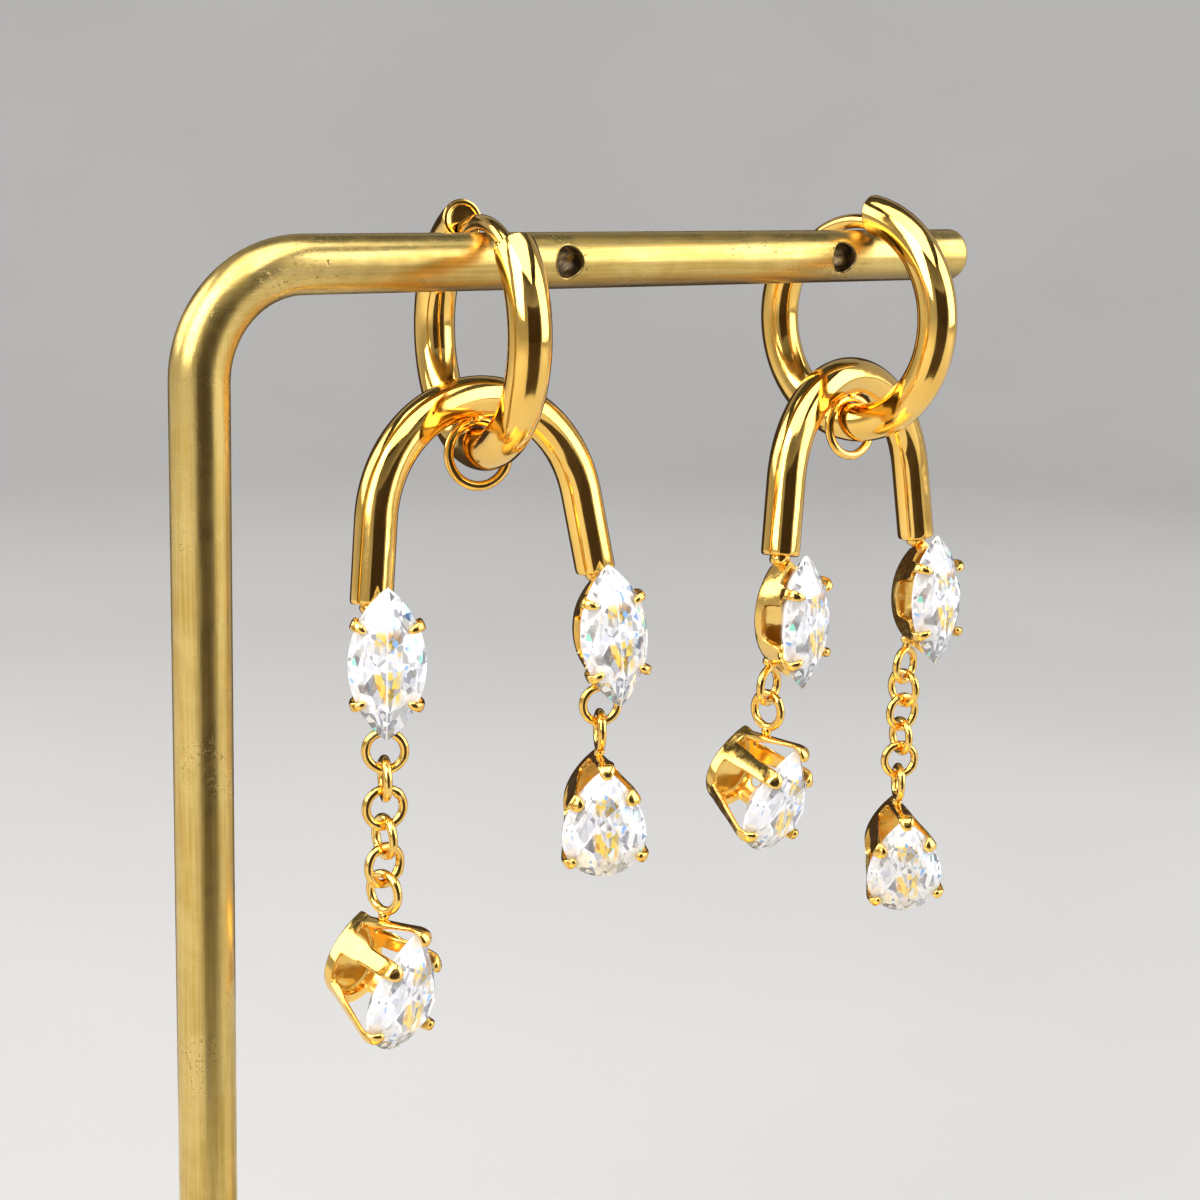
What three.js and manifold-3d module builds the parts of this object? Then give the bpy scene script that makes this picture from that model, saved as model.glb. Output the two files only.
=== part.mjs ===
// A pair of huggie hoop drop earrings hanging on the arm of a plain brass display stand.
// Millimetres, +Z up, the zero under the middle of the base. The arm runs along +X and the wearer's side
// is -Y. The pieces are laid out from the post's axis, and the whole group is then moved.
import * as THREE from "three";
import { ConvexGeometry } from "three/addons/geometries/ConvexGeometry.js";
import { mergeVertices } from "three/addons/utils/BufferGeometryUtils.js";
import Module from "manifold-3d";

const wasm = await Module();
wasm.setup();

// ---------- driving dimensions ----------
const GAP = 0.06; // running clearance between pieces that touch on the real thing

// stand
const ROD_R = 1.88;
const ARM_Z = 100; // arm axis above the ground
const BEND_R = 7;
const ARM_END_X = 62.3;
const ROD_CHAMFER = 0.3;
const HOLE_R = 1.05;
const HOLE_X = [25.8, 49.8];
const BASE = { minX: -14, maxX: 76, halfY: 24, height: 3.2, corner: 6, socketDepth: 2.4 };

// hoop: angles are measured from the top of the circle
const HOOP_R = 7.7;
const TUBE_R = 1.41;
const LONG_END = 25;
const SHORT_END = 41;
const CUT_SLANT = 12; // the outer side of each end reaches further than the inner side
const HOOP_STEP = 10.4;

// ear post
const POST_R = 0.55;
const POST_ARC_R = HOOP_R - TUBE_R + 0.24 + POST_R;
const POST_HINGE = 5.6; // the hinge is this many degrees outside the short end

// arch and the ring soldered under its crown
const ARCH_R = 8.57;
const ARCH_TUBE_R = 1.4;
const ARCH_SPLAY = 8.8;
const ARCH_LEG = 5.5;
const RING_R = 2.15;
const RING_TURN = -13; // the ring is soldered a little askew to the arch
const RING_WIRE_R = 0.33;
const RING_SINK = 0.12;
const RING_DROP = ARCH_TUBE_R + RING_WIRE_R - RING_SINK + RING_R;
const CROWN_RISE = RING_DROP - RING_R + RING_WIRE_R + TUBE_R + GAP;

// marquise stone and its cup; a cup's own frame has x across, y up, z out through the table
const MARQUISE = { halfW: 2.5, halfL: 5, girdle: 0.16, crown: 1.0, table: 0.6, pavilion: 2.1, keel: 0.42 };
const MARQUISE_CUP = { back: -3.2, front: -0.75, backScale: 0.74, backShift: 0, wall: 0.4 };
const MARQUISE_CLAWS = [53, 127, -53, -127];
const MARQUISE_NECK = 3.5; // the stub that carries the fixed ring starts this far below the middle
const SOLDER_R = 0.7;

// pear stone and its cup
const PEAR = { halfW: 3, halfL: 4, girdle: 0.18, crown: 1.1, table: 0.6, pavilion: 2.4 };
const PEAR_CUP = { back: -5.3, front: -4.4, backScale: 0.75, backShift: 0.7, wall: 0.4 };
const PEAR_HANG = { y: 4.27, z: -3.2 }; // where its ring is soldered on
const PEAR_SOLDER = { radius: 0.4, length: 0.63 }; // from the ring's wire down into the upper claw
const PEAR_CLAWS = [90, 46, -42, -132, 141]; // where the five claws stand round the stone, in degrees

// claws
const MARQUISE_CLAW_W = 0.75;
const PEAR_CLAW_W = 1.35;
const CLAW_T = 0.36;
const CLAW_TOP = 0.95;
const CLAW_FOLD = 0.5;
const CLAW_FOLD_T = 0.28;
const CLAW_KNEE = -0.2;

// chain rings
const LINK_R = 1.27;
const LINK_WIRE_R = 0.3;
const LINK_PITCH = 2 * LINK_R - 2 * LINK_WIRE_R + 0.04; // joined links just bite into each other
const LINK_FREE_PITCH = 2 * LINK_R - 2 * LINK_WIRE_R - GAP; // links of two pieces stay apart
const LINK_SINK = 0.15;

// facets
const ROD_SIDES = 20;
const TUBE_SIDES = 14;
const POST_SIDES = 10;
const LINK_SIDES = 6;
const LINK_STEPS = 12;

// The two earrings. Angles in degrees: turn about the upright, lean (the top backward, so that it faces up)
// and sway (in the piece's own plane). Rear is +1 when the hoop's long end is at the back, and roll turns the
// hoop on the arm. Hang is the leg's end in the stone's own frame, and loop the fixed ring's centre in it;
// loopTurn is how far that ring is turned from the stone's face.
const EARRINGS = [
  {
    side: "left",
    centre: [20.1, 0.1, -4.57],
    hoopTurn: -8.3,
    rear: 1,
    roll: 2,
    arch: { turn: 4.1, lean: 7.1, sway: -0.8 },
    drops: [
      {
        leg: -1,
        stone: { turn: -30, lean: 1, sway: 0 },
        hang: [-1.05, 3.4, -2.3],
        loop: [-0.1, -6.25, -2.2],
        loopTurn: 0,
        links: 4,
        pear: { turn: 15, lean: -6.5, sway: 11 },
      },
      {
        leg: 1,
        stone: { turn: -12, lean: 5, sway: -5 },
        hang: [0, 4.35, -2.3],
        loop: [-0.3, -5.25, -2.85],
        loopTurn: -8,
        links: 0,
        pear: { turn: -27.5, lean: -3, sway: -1 },
      },
    ],
  },
  {
    side: "right",
    centre: [52.64, -0.25, -4.56],
    hoopTurn: 6.8,
    rear: -1,
    roll: 16,
    arch: { turn: 15.5, lean: 5.8, sway: 3.1 },
    drops: [
      {
        leg: -1,
        stone: { turn: 13.7, lean: -2, sway: -5 },
        hang: [0, 4.6, -2.3],
        loop: [-0.1, -5.4, -3.0],
        loopTurn: 8,
        links: 0,
        pear: { turn: 8.5, lean: -12, sway: 14 },
      },
      {
        leg: 1,
        stone: { turn: 0, lean: 4, sway: 1 },
        hang: [-0.1, 4.7, -2.3],
        loop: [-0.25, -5.55, -3.05],
        loopTurn: 15,
        links: 4,
        pear: { turn: -31, lean: -8, sway: -4 },
      },
    ],
  },
];

// ---------- materials ----------
const gold = () => new THREE.MeshStandardMaterial({ color: 0xd9a036, roughness: 0.12, metalness: 1 });
const brass = () => new THREE.MeshStandardMaterial({ color: 0xa5873f, roughness: 0.42, metalness: 1 });
const zirconia = () => new THREE.MeshStandardMaterial({ color: 0xf2f4f8, roughness: 0.02, metalness: 0 });

// ---------- small helpers ----------
const rad = THREE.MathUtils.degToRad;
const vec = (x, y, z) => new THREE.Vector3(x, y, z);
const matrix = () => new THREE.Matrix4();
const range = (n, f) => Array.from({ length: n }, (_, i) => f(i));

// A closed three.js geometry as a manifold-3d solid, moved by the matrix if there is one.
function solid(geometry, place) {
  const g = geometry.clone();
  g.deleteAttribute("normal");
  g.deleteAttribute("uv");
  if (place) g.applyMatrix4(place);
  const merged = mergeVertices(g, 1e-4);
  const vertProperties = merged.attributes.position.array;
  const triVerts = new Uint32Array(merged.index.array);
  return new wasm.Manifold(new wasm.Mesh({ numProp: 3, vertProperties, triVerts }));
}

const join = (solids) => solids.reduce((a, b) => a.add(b));
const cut = (body, tools) => tools.reduce((a, b) => a.subtract(b), body);

function geometryOf(body) {
  const mesh = body.getMesh();
  const count = mesh.numProp;
  const corner = (i) => Array.from(mesh.vertProperties.slice(i * count, i * count + 3));
  const positions = range(mesh.numVert, corner).flat();
  const g = new THREE.BufferGeometry();
  g.setAttribute("position", new THREE.Float32BufferAttribute(positions, 3));
  g.setIndex(new THREE.BufferAttribute(mesh.triVerts, 1));
  return g;
}

function node(name, body, material) {
  const mesh = new THREE.Mesh(geometryOf(body), material);
  mesh.name = name;
  return mesh;
}

const box = (w, d, h, place) => solid(new THREE.BoxGeometry(w, d, h), place);

// A cylinder between two points.
function cylinder(from, to, radius, sides) {
  const along = to.clone().sub(from);
  const turn = new THREE.Quaternion().setFromUnitVectors(vec(0, 1, 0), along.clone().normalize());
  const middle = from.clone().add(to).multiplyScalar(0.5);
  const place = matrix().compose(middle, turn, vec(1, 1, 1));
  return solid(new THREE.CylinderGeometry(radius, radius, along.length(), sides), place);
}

// A route through points, stepped from point to point.
class Route extends THREE.Curve {
  constructor(points) {
    super();
    this.points = points;
  }
  getPoint(t, target = vec(0, 0, 0)) {
    const at = t * (this.points.length - 1);
    const i = Math.min(Math.floor(at), this.points.length - 2);
    return target.lerpVectors(this.points[i], this.points[i + 1], at - i);
  }
  getPointAt(u, target) {
    return this.getPoint(u, target);
  }
  getTangentAt(u, target = vec(0, 0, 0)) {
    const last = this.points.length - 1;
    const i = Math.round(u * last);
    const before = this.points[Math.max(i - 1, 0)];
    const after = this.points[Math.min(i + 1, last)];
    return target.subVectors(after, before).normalize();
  }
}

function tube(points, radius, sides) {
  const section = new THREE.Shape(
    range(sides, (i) => {
      const a = (2 * Math.PI * (i + 0.5)) / sides;
      return new THREE.Vector2(radius * Math.cos(a), radius * Math.sin(a));
    }),
  );
  const options = { steps: points.length - 1, extrudePath: new Route(points), bevelEnabled: false };
  return solid(new THREE.ExtrudeGeometry(section, options));
}

// Points of an arc in the plane of two unit vectors; degrees run from the first toward the second.
function arc(centre, radius, first, second, fromDeg, toDeg, steps) {
  return range(steps + 1, (i) => {
    const a = rad(fromDeg + ((toDeg - fromDeg) * i) / steps);
    return centre
      .clone()
      .addScaledVector(first, radius * Math.cos(a))
      .addScaledVector(second, radius * Math.sin(a));
  });
}

// The placing of a piece whose own frame has x across, y up and z facing the viewer's side (-Y).
function facing(at, { turn, lean, sway }) {
  const q = new THREE.Quaternion().setFromAxisAngle(vec(0, 0, 1), rad(turn));
  q.multiply(new THREE.Quaternion().setFromAxisAngle(vec(1, 0, 0), rad(90 - lean)));
  q.multiply(new THREE.Quaternion().setFromAxisAngle(vec(0, 0, 1), rad(-sway)));
  return matrix().compose(at, q, vec(1, 1, 1));
}

const direction = (place, x, y, z) => vec(x, y, z).transformDirection(place);

// ---------- stones ----------
// Outline points of a marquise: two equal arcs that meet in a tip at each end.
function marquiseOutline({ halfW, halfL }, perSide) {
  const r = (halfW * halfW + halfL * halfL) / (2 * halfW);
  const half = Math.asin(halfL / r);
  const side = (sign) =>
    range(perSide, (i) => {
      const a = sign * (-half + (2 * half * i) / perSide);
      return new THREE.Vector2(sign * (r * Math.cos(a) - (r - halfW)), r * Math.sin(a));
    });
  return [...side(1), ...side(-1)];
}

// Outline points of a pear: half an ellipse below, sides that close in a tip at the top.
function pearOutline({ halfW, halfL }, perSide) {
  const waist = -halfL / 4;
  const x = (y) =>
    y < waist
      ? halfW * Math.sqrt(Math.max(0, 1 - ((y - waist) / (halfL + waist)) ** 2))
      : halfW * (1 - ((y - waist) / (halfL - waist)) ** 1.9) ** 0.95;
  const heights = range(perSide + 1, (i) => -halfL * Math.cos((Math.PI * i) / perSide));
  const right = heights.map((y) => new THREE.Vector2(x(y), y));
  const left = heights.slice(1, -1).map((y) => new THREE.Vector2(-x(y), y));
  return [...right, ...left.reverse()];
}

// A faceted stone: girdle, crown up to a flat table, pavilion down to a short keel or a point.
function gem(outline, { girdle, crown, table, pavilion, keel = 0 }, low) {
  const at = (p, scale, z) => vec(p.x * scale, p.y * scale, z);
  const points = [
    ...outline.map((p) => at(p, 1, girdle / 2)),
    ...outline.map((p) => at(p, 1, -girdle / 2)),
    ...outline.filter((_, i) => i % 2 === 0).map((p) => at(p, table, girdle / 2 + crown)),
    ...[-1, 1].map((s) => vec(0, low + s * keel * Math.abs(outline[0].y), -girdle / 2 - pavilion)),
  ];
  return new ConvexGeometry(keel ? points : points.slice(0, -1));
}

const marquiseGem = () => gem(marquiseOutline(MARQUISE, 8), MARQUISE, 0);
const pearGem = () => gem(pearOutline(PEAR, 9), PEAR, -0.6);

// ---------- cups ----------
// How large an outline is at a height inside a cup that widens from its back to the girdle.
function section(cup, z) {
  const t = 1 - z / cup.back;
  return { scale: cup.backScale + (1 - cup.backScale) * t, shift: cup.backShift * (1 - t) };
}

// A plug between two heights of a cup, its sides moved in by the inset.
function plug(outline, cup, low, high, inset) {
  const g = new THREE.ExtrudeGeometry(new THREE.Shape(outline), { depth: 1, bevelEnabled: false, steps: 1 });
  const p = g.attributes.position;
  const [halfW, halfL] = ["x", "y"].map((axis) => Math.max(...outline.map((o) => o[axis])));
  for (let i = 0; i < p.count; i++) {
    const z = p.getZ(i) > 0.5 ? high : low;
    const { scale, shift } = section(cup, z);
    const x = p.getX(i) * (scale - inset / halfW);
    const y = p.getY(i) * (scale - (1.4 * inset) / halfL) + shift;
    p.setXYZ(i, x, y, z);
  }
  return solid(g);
}

const acrossOf = (outward) => new THREE.Vector3().crossVectors(outward, vec(0, 0, 1));

// One claw, cut from a bent side profile: up the cup, past the girdle and folded over the stone.
// In the profile x is the distance outside the girdle point and y the height; the foot's z is how far
// along the wall the claw slants down to it.
function claw({ at, outward }, foot, width) {
  const inner = GAP;
  const outer = GAP + CLAW_T;
  const profile = [
    [foot.x, foot.y],
    [foot.x + CLAW_T, foot.y],
    [outer, CLAW_KNEE],
    [outer, CLAW_TOP - 0.1],
    [outer - 0.1, CLAW_TOP],
    [-CLAW_FOLD, CLAW_TOP],
    [-CLAW_FOLD, CLAW_TOP - CLAW_FOLD_T],
    [inner, CLAW_TOP - CLAW_FOLD_T],
    [inner, CLAW_KNEE],
  ];
  const shape = new THREE.Shape(profile.map(([x, y]) => new THREE.Vector2(x, y)));
  const g = new THREE.ExtrudeGeometry(shape, { depth: width, bevelEnabled: false, steps: 1 });
  const p = g.attributes.position;
  for (let i = 0; i < p.count; i++) {
    const low = Math.max(0, (CLAW_KNEE - p.getY(i)) / (CLAW_KNEE - foot.y));
    p.setZ(i, p.getZ(i) - width / 2 + low * foot.z);
  }
  return solid(g, matrix().makeBasis(outward, vec(0, 0, 1), acrossOf(outward)).setPosition(at));
}

// Where a ray at an angle leaves the outline, and the outline's outward direction there.
function girdlePoint(outline, degrees) {
  const ray = new THREE.Vector2(Math.cos(rad(degrees)), Math.sin(rad(degrees)));
  for (let i = 0; i < outline.length; i++) {
    const a = outline[i];
    const b = outline[(i + 1) % outline.length];
    const edge = b.clone().sub(a);
    const t = a.cross(edge) / ray.cross(edge);
    const u = a.cross(ray) / ray.cross(edge);
    if (t > 0 && u >= 0 && u <= 1) {
      const out = vec(edge.y, -edge.x, 0).normalize();
      return { at: vec(ray.x * t, ray.y * t, 0), outward: out };
    }
  }
  throw new Error("the ray misses the outline");
}

// A cup's shell, closed at the back and open at its front plane.
function shell(outline, cup) {
  const outer = plug(outline, cup, cup.back, cup.front, 0);
  return outer.subtract(plug(outline, cup, cup.back + cup.wall, cup.front + 0.01, cup.wall));
}

// Where a claw stands. It faces the mean of the outline's directions beside it, so one at a tip is straight.
function clawPoint(outline, degrees) {
  const { at } = girdlePoint(outline, degrees);
  const sides = [-8, 8].map((off) => girdlePoint(outline, degrees + off).outward);
  return { at, outward: sides[0].add(sides[1]).normalize() };
}

// The claws of a cup, their feet flush with its wall at a height.
function claws(outline, cup, angles, footZ, width) {
  const { scale, shift } = section(cup, footZ);
  return angles.map((degrees) => {
    const point = clawPoint(outline, degrees);
    const slant = point.at.clone().multiplyScalar(scale).add(vec(0, shift, 0)).sub(point.at);
    const foot = vec(slant.dot(point.outward) - CLAW_T, footZ, slant.dot(acrossOf(point.outward)));
    return claw(point, foot, width);
  });
}

function marquiseCup() {
  const outline = marquiseOutline(MARQUISE, 5);
  const { front } = MARQUISE_CUP;
  const window = box(8, 3.4, 3.3, matrix().makeTranslation(0, 0, front));
  const notch = (s) => box(3, 1.9, 1.4, matrix().makeTranslation(0, s * 4.1, front));
  const wall = cut(shell(outline, MARQUISE_CUP), [window, notch(1), notch(-1)]);
  return join([wall, ...claws(outline, MARQUISE_CUP, MARQUISE_CLAWS, -1.3, MARQUISE_CLAW_W)]);
}

function pearCup() {
  const outline = pearOutline(PEAR, 7);
  const feet = claws(outline, PEAR_CUP, PEAR_CLAWS, PEAR_CUP.back + 0.3, PEAR_CLAW_W);
  return join([shell(outline, PEAR_CUP), ...feet]);
}

// ---------- links ----------
// A ring hanging in the plane turned by the angle, its centre at the point.
function link(centre, turnDeg) {
  const place = matrix().makeRotationZ(rad(turnDeg));
  place.multiply(matrix().makeRotationX(Math.PI / 2)).setPosition(centre);
  return solid(new THREE.TorusGeometry(LINK_R, LINK_WIRE_R, LINK_SIDES, LINK_STEPS), place);
}

// The same angle of a ring's plane, from -90 up to 90.
const wrap = (degrees) => degrees - 180 * Math.round(degrees / 180);

const below = (p, distance) => p.clone().add(vec(0, 0, -distance));

// ---------- stand ----------
function standRod() {
  const bend = arc(vec(BEND_R, 0, ARM_Z - BEND_R), BEND_R, vec(-1, 0, 0), vec(0, 0, 1), 0, 90, 9);
  const foot = vec(0, 0, BASE.height - BASE.socketDepth + GAP);
  const route = [foot, ...bend, vec(ARM_END_X - ROD_CHAMFER, 0, ARM_Z)];
  const rod = tube(route, ROD_R, ROD_SIDES);
  const end = vec(ARM_END_X, 0, ARM_Z);
  const tip = cylinder(end.clone().sub(vec(1, 0, 0)), end, ROD_R - ROD_CHAMFER, ROD_SIDES);
  const holes = HOLE_X.map((x) => cylinder(vec(x, -3, ARM_Z), vec(x, 3, ARM_Z), HOLE_R, 16));
  return cut(rod.add(tip), holes);
}

function standBase() {
  const { minX, maxX, halfY, height, corner, socketDepth } = BASE;
  const plate = new THREE.Shape();
  plate.moveTo(minX + corner, -halfY);
  plate.lineTo(maxX - corner, -halfY);
  plate.absarc(maxX - corner, -halfY + corner, corner, -Math.PI / 2, 0);
  plate.absarc(maxX - corner, halfY - corner, corner, 0, Math.PI / 2);
  plate.absarc(minX + corner, halfY - corner, corner, Math.PI / 2, Math.PI);
  plate.absarc(minX + corner, -halfY + corner, corner, Math.PI, 1.5 * Math.PI);
  const options = { depth: height, bevelEnabled: false, curveSegments: 5 };
  const slab = solid(new THREE.ExtrudeGeometry(plate, options));
  const socket = cylinder(vec(0, 0, height - socketDepth), vec(0, 0, height + 1), ROD_R + GAP, 24);
  return slab.subtract(socket);
}

// ---------- earring ----------
const UP = vec(0, 0, 1);

// The hoop's own directions: front is the way from its centre to the viewer's side, ahead to the long end.
function hoopFrame(e) {
  const [x, y, z] = e.centre;
  const front = vec(Math.sin(rad(e.hoopTurn)), -Math.cos(rad(e.hoopTurn)), 0);
  const ahead = front.clone().multiplyScalar(-e.rear);
  const normal = new THREE.Vector3().crossVectors(UP, ahead);
  return { centre: vec(x, y, z + ARM_Z), front, ahead, normal };
}

// A box that cuts off all of the tube beyond a slanted plane at the angle; the sign is the side it lies on.
function endCut({ centre, ahead, normal }, degrees, sign) {
  const [at] = arc(centre, HOOP_R, UP, ahead, degrees, degrees, 1);
  const spin = new THREE.Quaternion().setFromAxisAngle(normal, rad(degrees - sign * CUT_SLANT));
  const size = 6;
  const level = UP.clone().applyQuaternion(spin);
  const off = ahead.clone().applyQuaternion(spin).multiplyScalar(-sign * size * 0.5);
  const basis = matrix().makeBasis(normal, level, new THREE.Vector3().crossVectors(normal, level));
  return box(size, size, size, basis.setPosition(at.add(off)));
}

function hoop(e) {
  const frame = hoopFrame(e);
  const start = LONG_END - e.roll;
  const end = 360 - SHORT_END - e.roll;
  const margin = 5;
  const steps = Math.round((end - start + 2 * margin) / HOOP_STEP);
  const route = arc(frame.centre, HOOP_R, UP, frame.ahead, start - margin, end + margin, steps);
  return cut(tube(route, TUBE_R, TUBE_SIDES), [endCut(frame, start, 1), endCut(frame, end, -1)]);
}

function earPost(e) {
  const frame = hoopFrame(e);
  const start = LONG_END - e.roll - 1.3;
  const end = -SHORT_END - e.roll + POST_HINGE;
  const wire = tube(arc(frame.centre, POST_ARC_R, UP, frame.ahead, start, end, 8), POST_R, POST_SIDES);
  const [eye] = arc(frame.centre, POST_ARC_R, UP, frame.ahead, end, end, 1);
  const side = frame.normal.clone().multiplyScalar(POST_R * 0.95);
  return wire.add(cylinder(eye.clone().sub(side), eye.clone().add(side), POST_R, 12));
}

// Where the hoop's lowest point is, and the placing of the arch whose ring hangs there.
function archPlace(e) {
  const { centre } = hoopFrame(e);
  const bottom = below(centre, HOOP_R);
  const place = facing(bottom, e.arch);
  const crown = bottom.clone().addScaledVector(direction(place, 0, 1, 0), CROWN_RISE);
  return place.setPosition(crown);
}

// The middle of a leg's end in the arch's own frame, whose zero is the crown.
function legEnd(leg) {
  const a = rad(90 - ARCH_SPLAY);
  const x = ARCH_R * Math.sin(a) + ARCH_LEG * Math.sin(rad(ARCH_SPLAY));
  const y = ARCH_R * (Math.cos(a) - 1) - ARCH_LEG * Math.cos(rad(ARCH_SPLAY));
  return vec(leg * x, y, 0);
}

function archBody() {
  const centre = vec(0, -ARCH_R, 0);
  const swing = 90 - ARCH_SPLAY;
  const bow = arc(centre, ARCH_R, vec(0, 1, 0), vec(1, 0, 0), -swing, swing, 16);
  const pipe = tube([legEnd(-1), ...bow, legEnd(1)], ARCH_TUBE_R, TUBE_SIDES);
  const ring = new THREE.TorusGeometry(RING_R, RING_WIRE_R, 6, 16);
  const askew = matrix().makeRotationY(rad(RING_TURN)).setPosition(0, -RING_DROP, 0);
  return pipe.add(solid(ring, askew));
}

function earring(e) {
  const place = archPlace(e);
  const metal = [archBody().transform(place.elements)];
  const meshes = [
    node(`hoop_${e.side}`, hoop(e), gold()),
    node(`ear_post_${e.side}`, earPost(e), gold()),
  ];
  for (const drop of e.drops) {
    const tag = `${drop.links ? "long" : "short"}_${e.side}`;
    const hang = legEnd(drop.leg).applyMatrix4(place);
    const stonePlace = facing(vec(0, 0, 0), drop.stone);
    const toHang = vec(...drop.hang).applyMatrix4(stonePlace);
    stonePlace.setPosition(hang.clone().sub(toHang));
    const firstTurn = drop.stone.turn + drop.loopTurn;
    const loop = vec(...drop.loop).applyMatrix4(stonePlace);
    const neckTop = vec(0, -MARQUISE_NECK, drop.loop[2]).applyMatrix4(stonePlace);
    const neck = cylinder(neckTop, loop.clone().add(vec(0, 0, LINK_R)), LINK_WIRE_R, 8);
    const solder = cylinder(hang.clone().add(vec(0, 0, 0.5)), below(hang, 0.8), SOLDER_R, 8);
    metal.push(marquiseCup().transform(stonePlace.elements), link(loop, firstTurn), neck, solder);
    meshes.push(node(`marquise_${tag}`, solid(marquiseGem(), stonePlace), zirconia()));

    const steps = drop.links + 1;
    const twist = wrap(drop.pear.turn + 90 - firstTurn - 90 * steps) / steps;
    const turn = (i) => firstTurn + (90 + twist) * i;
    const links = range(drop.links, (i) => link(below(loop, LINK_FREE_PITCH + i * LINK_PITCH), turn(i + 1)));
    if (links.length) meshes.push(node(`chain_${e.side}`, join(links), gold()));
    const run = links.length ? 2 * LINK_FREE_PITCH + (links.length - 1) * LINK_PITCH : LINK_FREE_PITCH;
    const last = below(loop, run);
    const pearPlace = facing(vec(0, 0, 0), drop.pear);
    const fromTop = vec(0, PEAR_HANG.y, PEAR_HANG.z).applyMatrix4(pearPlace);
    pearPlace.setPosition(below(last, LINK_R + LINK_WIRE_R - LINK_SINK).sub(fromTop));
    const solderEnd = below(last, LINK_R + PEAR_SOLDER.length);
    const bead = cylinder(below(last, LINK_R), solderEnd, PEAR_SOLDER.radius, 8);
    const cup = join([pearCup().transform(pearPlace.elements), link(last, turn(steps)), bead]);
    meshes.push(node(`pear_cup_${tag}`, cup, gold()));
    meshes.push(node(`pear_${tag}`, solid(pearGem(), pearPlace), zirconia()));
  }
  meshes.push(node(`arch_${e.side}`, join(metal), gold()));
  return meshes;
}

const stand = [node("stand_rod", standRod(), brass()), node("stand_base", standBase(), brass())];
const object = new THREE.Group();
object.add(...stand, ...EARRINGS.flatMap(earring));

object.position.x = -(BASE.minX + BASE.maxX) / 2;

export default object;
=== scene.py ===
import math
from math import cos, pi, radians, sin, sqrt

import bmesh
import bpy
from mathutils import Matrix, Vector, noise


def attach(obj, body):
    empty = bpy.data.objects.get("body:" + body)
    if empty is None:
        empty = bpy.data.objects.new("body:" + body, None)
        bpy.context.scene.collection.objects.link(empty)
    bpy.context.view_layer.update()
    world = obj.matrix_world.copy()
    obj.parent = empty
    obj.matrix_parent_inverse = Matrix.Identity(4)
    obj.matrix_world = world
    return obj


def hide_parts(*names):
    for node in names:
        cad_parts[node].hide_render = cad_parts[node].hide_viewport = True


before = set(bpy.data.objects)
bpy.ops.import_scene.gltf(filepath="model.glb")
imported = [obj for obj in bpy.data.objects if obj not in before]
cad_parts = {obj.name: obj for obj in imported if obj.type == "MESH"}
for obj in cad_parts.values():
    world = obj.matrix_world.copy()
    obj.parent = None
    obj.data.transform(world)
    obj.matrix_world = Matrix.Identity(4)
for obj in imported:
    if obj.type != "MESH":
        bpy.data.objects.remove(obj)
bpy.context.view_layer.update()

# ---------- the part's own dimensions, in millimetres ----------
MM = 0.001
GAP = 0.06  # between pieces that touch on the real thing

ROD_R = 1.88
ARM_Z = 100
BEND_R = 7
ARM_END_X = 62.3
HOLE_R = 1.05
HOLE_X = (25.8, 49.8)
SCUFF_X = 41.5  # the middle of the worn stretch on top of the arm
BASE = {"min_x": -14, "max_x": 76, "half_y": 24, "height": 3.2, "corner": 6, "socket": 2.4}
# The pieces are laid out from the post's axis, and this moves them to the middle of the base.
ROW_SHIFT = Vector((-(BASE["min_x"] + BASE["max_x"]) / 2, 0, 0))

HOOP_R = 7.7
TUBE_R = 1.41
LONG_END = 25
SHORT_END = 41
CUT_SLANT = 12
POST_R = 0.55
POST_ARC_R = HOOP_R - TUBE_R + 0.24 + POST_R
POST_HINGE = 5.6

ARCH_R = 8.57
ARCH_TUBE_R = 1.4
ARCH_SPLAY = 8.8
ARCH_LEG = 5.5
RING_R = 2.15
RING_TURN = -13
RING_WIRE_R = 0.33
RING_DROP = ARCH_TUBE_R + RING_WIRE_R - 0.12 + RING_R
CROWN_RISE = RING_DROP - RING_R + RING_WIRE_R + TUBE_R + GAP

MARQUISE = {
    "half_w": 2.5, "half_l": 5, "girdle": 0.16, "crown": 1.0,
    "table": 0.6, "pavilion": 2.1, "keel": 2.1, "low": 0,
}
MARQUISE_CUP = {"back": -3.2, "front": -0.75, "scale": 0.74, "shift": 0, "wall": 0.4}
MARQUISE_CLAWS = (-53, 53, 127, -127)
MARQUISE_NECK = 3.5
PEAR = {
    "half_w": 3, "half_l": 4, "girdle": 0.18, "crown": 1.1,
    "table": 0.6, "pavilion": 2.4, "keel": 0, "low": -0.6,
}
PEAR_CUP = {"back": -5.3, "front": -4.4, "scale": 0.75, "shift": 0.7, "wall": 0.4}
PEAR_HANG = (4.27, -3.2)  # where its ring is soldered on, up and out from the stone's middle
PEAR_CLAWS = (90, 46, -42, -132, 141)
MARQUISE_CLAW_W = 0.8
PEAR_CLAW_W = 1.35
CLAW_T = 0.36

LINK_R = 1.27
LINK_WIRE_R = 0.3
LINK_PITCH = 2 * LINK_R - 2 * LINK_WIRE_R + 0.04
LINK_FREE_PITCH = 2 * LINK_R - 2 * LINK_WIRE_R - GAP
LINK_SINK = 0.15

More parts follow.
